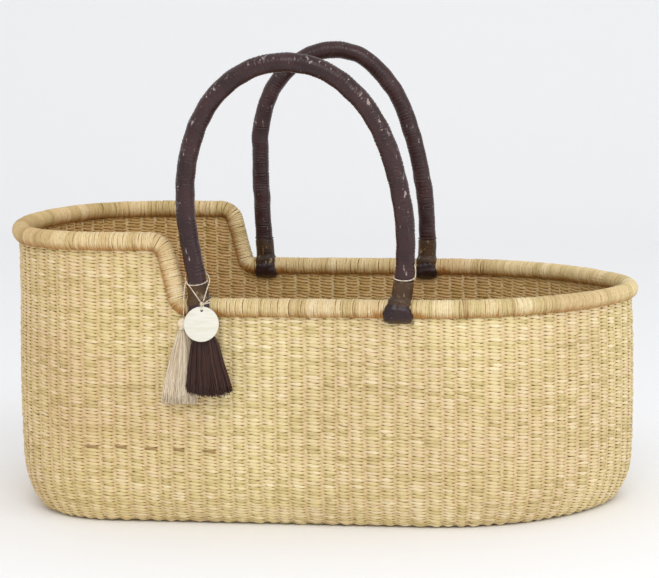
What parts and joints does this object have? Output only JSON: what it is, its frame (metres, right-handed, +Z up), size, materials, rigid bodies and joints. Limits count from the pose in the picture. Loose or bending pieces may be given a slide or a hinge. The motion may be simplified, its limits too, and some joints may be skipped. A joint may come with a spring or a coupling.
{
  "type": "moses basket",
  "caption": "Oval moses basket with a raised head end: twined grass wall, bound rim, two folding leather-covered carrying arches, a tag and tassels.",
  "frame": {"origin": "middle of the woven base on the floor, under the crossing of the basket's two middle planes", "axes": "+X to the round foot end, along the basket's length; -Y to the side with the tag and tassels; +Z up"},
  "size_m": [0.8399, 0.4772, 0.609],
  "materials": {
    "straw": "dry twined elephant grass, straw yellow",
    "rim_straw": "close wrapped grass strands in bands of pale, olive and tan",
    "handle_leather": "purple-brown goatskin wound in a fine spiral, half gloss",
    "collar_leather": "olive-brown worn leather",
    "boot_leather": "near-black leather, gathered and stitched",
    "twine": "thin pale jute twine",
    "tag_white": "off-white painted disc, bare",
    "light_strands": "cream cotton strands",
    "dark_strands": "dark brown cotton strands"
  },
  "bodies": {
    "basket": {"base_panel": "straw", "wall_weave": "straw", "rim_wrap": "rim_straw", "tag_knot": "twine"},
    "front_handle": {"front_handle_sleeve": "handle_leather", "front_left_collar": "collar_leather", "front_right_collar": "collar_leather", "front_left_tie": "twine", "front_right_tie": "twine", "front_left_boot": "boot_leather", "front_right_boot": "boot_leather", "tag_loop": "twine", "light_tassel_string": "twine"},
    "rear_handle": {"rear_handle_sleeve": "handle_leather", "rear_left_collar": "collar_leather", "rear_right_collar": "collar_leather", "rear_left_tie": "twine", "rear_right_tie": "twine", "rear_left_boot": "boot_leather", "rear_right_boot": "boot_leather"},
    "tag": {"tag_disc": "tag_white"},
    "light_tassel": {"light_tassel_head": "light_strands", "light_tassel_binding": "light_strands", "light_tassel_skirt": "light_strands"},
    "dark_tassel": {"dark_tassel_head": "dark_strands", "dark_tassel_binding": "dark_strands", "dark_tassel_skirt": "dark_strands"}
  },
  "joints": [
    {"name": "front_handle_fold", "type": "hinge", "parent": "basket", "child": "front_handle", "pos_m": [0, -0.212, 0.284], "axis": [1, 0, 0], "range_deg": [-40, 30], "deforming": ["tag_loop", "light_tassel_string"]},
    {"name": "rear_handle_fold", "type": "hinge", "parent": "basket", "child": "rear_handle", "pos_m": [0, 0.212, 0.284], "axis": [1, 0, 0], "range_deg": [-30, 40]},
    {"name": "tag_swing", "type": "hinge", "parent": "basket", "child": "tag", "pos_m": [-0.124, -0.2375, 0.2842], "axis": [0, -0.9703, 0.2419], "range_deg": [-20, 20]},
    {"name": "light_tassel_swing", "type": "hinge", "parent": "basket", "child": "light_tassel", "pos_m": [-0.15, -0.2245, 0.272], "axis": [0, 1, 0], "range_deg": [-25, 25]},
    {"name": "dark_tassel_swing", "type": "hinge", "parent": "basket", "child": "dark_tassel", "pos_m": [-0.12, -0.2335, 0.272], "axis": [0, 1, 0], "range_deg": [-25, 25]}
  ]
}
